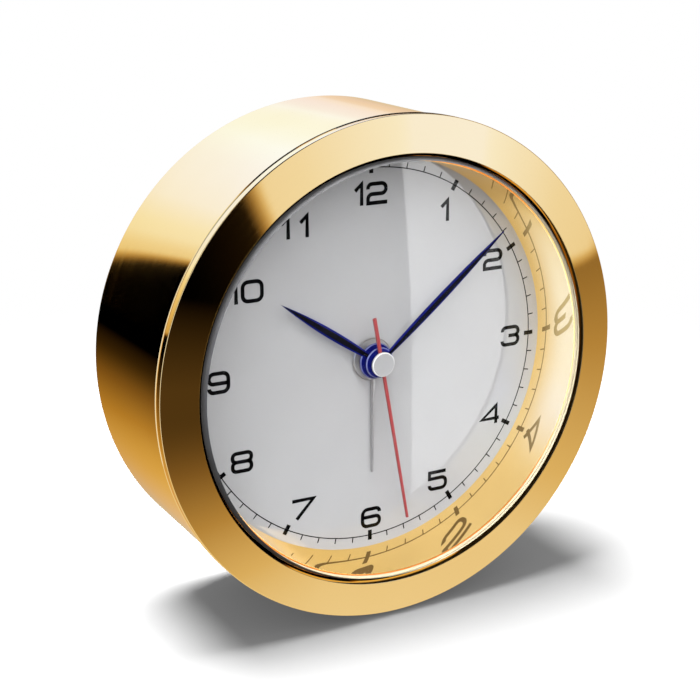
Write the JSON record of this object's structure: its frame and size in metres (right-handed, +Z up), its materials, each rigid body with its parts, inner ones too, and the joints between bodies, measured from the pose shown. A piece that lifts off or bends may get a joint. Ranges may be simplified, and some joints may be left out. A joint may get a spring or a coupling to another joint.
{
  "type": "table alarm clock",
  "caption": "Polished gold drum table alarm clock with a conical bezel, bevelled crystal, silver dial, leaf hands, alarm hand and a quartz movement set from the back.",
  "frame": {"origin": "middle of the rubber foot's underside, on the surface that the clock stands on", "axes": "+Z up, +Y to the back, +X to the right seen from the front; the dial faces -Y"},
  "size_m": [0.085, 0.0345, 0.0855],
  "materials": {
    "polished_gold": "mirror-polished gold plate",
    "crystal_glass": "clear, polished",
    "dial_silver": "satin silver with printed black figures",
    "blued_steel": "polished dark blue",
    "red_lacquer": "satin red",
    "silver_cap": "satin",
    "grey_metal": "satin grey",
    "black_plastic": "fine-grained moulding",
    "knob_plastic": "semi-gloss moulding",
    "black_rubber": "matt",
    "clear_nylon": "translucent",
    "movement_plastic": "natural moulding",
    "wheel_plastic": "white acetal",
    "bright_steel": "bright",
    "setting_brass": "turned",
    "copper_wire": "enamelled wire",
    "magnet_dark": "sintered",
    "board_green": "printed circuit",
    "buzzer_black": "moulded",
    "cell_jacket": "printed jacket"
  },
  "bodies": {
    "case": {"case_drum": "polished_gold", "bezel": "polished_gold", "reflector_ring": "polished_gold", "crystal": "crystal_glass", "dial_plate": "dial_silver", "rear_cover": "black_plastic", "rubber_foot": "black_rubber", "crystal_gasket": "clear_nylon", "movement_holder": "movement_plastic", "movement_housing": "movement_plastic", "movement_front_plate": "movement_plastic", "train_bridge": "movement_plastic", "coil_bobbin": "wheel_plastic", "cover_screws": "bright_steel", "bridge_screws": "bright_steel", "stator": "bright_steel", "coil_core": "bright_steel", "contact_positive": "bright_steel", "contact_negative": "bright_steel", "quartz_can": "bright_steel", "coil_winding": "copper_wire", "circuit_board": "board_green", "buzzer": "buzzer_black", "battery_cell": "cell_jacket"},
    "second_hand": {"second_hand": "red_lacquer", "hand_cap": "silver_cap", "seconds_wheel": "wheel_plastic"},
    "minute_hand": {"minute_hand": "blued_steel", "minute_wheel": "wheel_plastic"},
    "hour_hand": {"hour_hand": "blued_steel", "hour_wheel": "wheel_plastic"},
    "alarm_hand": {"alarm_hand": "grey_metal", "alarm_wheel": "wheel_plastic"},
    "third_wheel": {"third_wheel": "wheel_plastic"},
    "intermediate_wheel": {"intermediate_wheel": "wheel_plastic"},
    "rotor": {"rotor_arbor": "wheel_plastic", "rotor_magnet": "magnet_dark"},
    "motion_wheel": {"motion_wheel": "wheel_plastic"},
    "time_set": {"time_set_arbor": "setting_brass", "time_set_knob": "knob_plastic"},
    "alarm_set": {"alarm_set_arbor": "setting_brass", "alarm_set_knob": "knob_plastic"},
    "alarm_switch": {"alarm_switch": "knob_plastic"},
    "battery_door": {"battery_door": "black_plastic"}
  },
  "joints": [
    {"name": "second_turn", "type": "hinge", "parent": "case", "child": "second_hand", "pos_m": [0, 0, 0.043], "axis": [0, 1, 0], "continuous": true},
    {"name": "minute_turn", "type": "hinge", "parent": "case", "child": "minute_hand", "pos_m": [0, 0, 0.043], "axis": [0, 1, 0], "continuous": true},
    {"name": "hour_turn", "type": "hinge", "parent": "case", "child": "hour_hand", "pos_m": [0, 0, 0.043], "axis": [0, 1, 0], "continuous": true},
    {"name": "third_turn", "type": "hinge", "parent": "case", "child": "third_wheel", "pos_m": [-0.00476, 0, 0.04867], "axis": [0, 1, 0], "continuous": true},
    {"name": "intermediate_turn", "type": "hinge", "parent": "case", "child": "intermediate_wheel", "pos_m": [0.00514, 0, 0.04913], "axis": [0, 1, 0], "continuous": true},
    {"name": "rotor_turn", "type": "hinge", "parent": "case", "child": "rotor", "pos_m": [0.00844, 0, 0.05484], "axis": [0, 1, 0], "continuous": true},
    {"name": "motion_turn", "type": "hinge", "parent": "case", "child": "motion_wheel", "pos_m": [0.00673, 0, 0.04205], "axis": [0, 1, 0], "continuous": true},
    {"name": "time_set_turn", "type": "hinge", "parent": "case", "child": "time_set", "pos_m": [0.01312, 0, 0.04438], "axis": [0, 1, 0], "continuous": true},
    {"name": "alarm_turn", "type": "hinge", "parent": "case", "child": "alarm_hand", "pos_m": [0, 0, 0.043], "axis": [0, 1, 0], "continuous": true},
    {"name": "alarm_set_turn", "type": "hinge", "parent": "case", "child": "alarm_set", "pos_m": [-0.00818, 0, 0.04111], "axis": [0, 1, 0], "continuous": true},
    {"name": "alarm_switch_slide", "type": "slide", "parent": "case", "child": "alarm_switch", "axis": [1, 0, 0], "range_m": [0, 0.004]},
    {"name": "battery_door_lift", "type": "slide", "parent": "case", "child": "battery_door", "axis": [0, 1, 0], "range_m": [0, 0.02]}
  ],
  "couplings": [
    {"joint": "minute_turn", "follows": "second_turn", "ratio": 0.016667},
    {"joint": "hour_turn", "follows": "second_turn", "ratio": 0.0013889},
    {"joint": "third_turn", "follows": "second_turn", "ratio": -0.13333},
    {"joint": "intermediate_turn", "follows": "second_turn", "ratio": -3.75},
    {"joint": "rotor_turn", "follows": "second_turn", "ratio": 30},
    {"joint": "motion_turn", "follows": "second_turn", "ratio": -0.0055556},
    {"joint": "time_set_turn", "follows": "second_turn", "ratio": 0.016667},
    {"joint": "alarm_set_turn", "follows": "alarm_turn", "ratio": -1}
  ]
}
